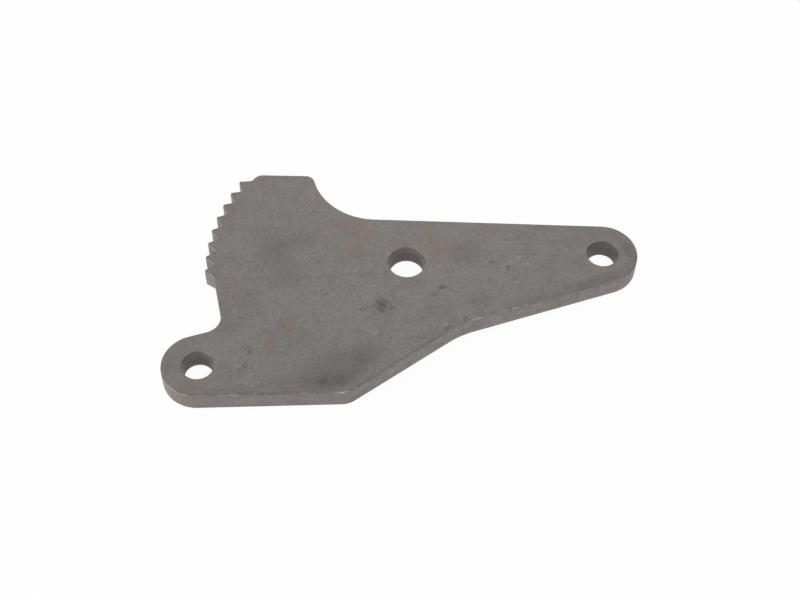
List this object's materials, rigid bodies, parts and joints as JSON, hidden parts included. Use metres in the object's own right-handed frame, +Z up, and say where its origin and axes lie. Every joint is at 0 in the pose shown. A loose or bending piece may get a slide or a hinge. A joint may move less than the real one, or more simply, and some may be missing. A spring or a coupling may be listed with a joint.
{
  "type": "sector gear",
  "caption": "Flat sector plate blanked from thick steel, with pointed teeth on an arc about its pivot hole and a round ear with a pin hole at each end.",
  "frame": {"origin": "middle of the underside's box, on the surface that the plate lies on", "axes": "+X along the line of the ear holes, from the toothed end to the end of the arm; +Z up, out of the plate's upper face; +Y towards the teeth's head"},
  "size_m": [0.139, 0.0804, 0.006],
  "materials": {
    "steel": "dull grey-brown, pickled and oiled, with faint rust stains"
  },
  "bodies": {
    "root": {"sector_plate": "steel"}
  },
  "joints": []
}
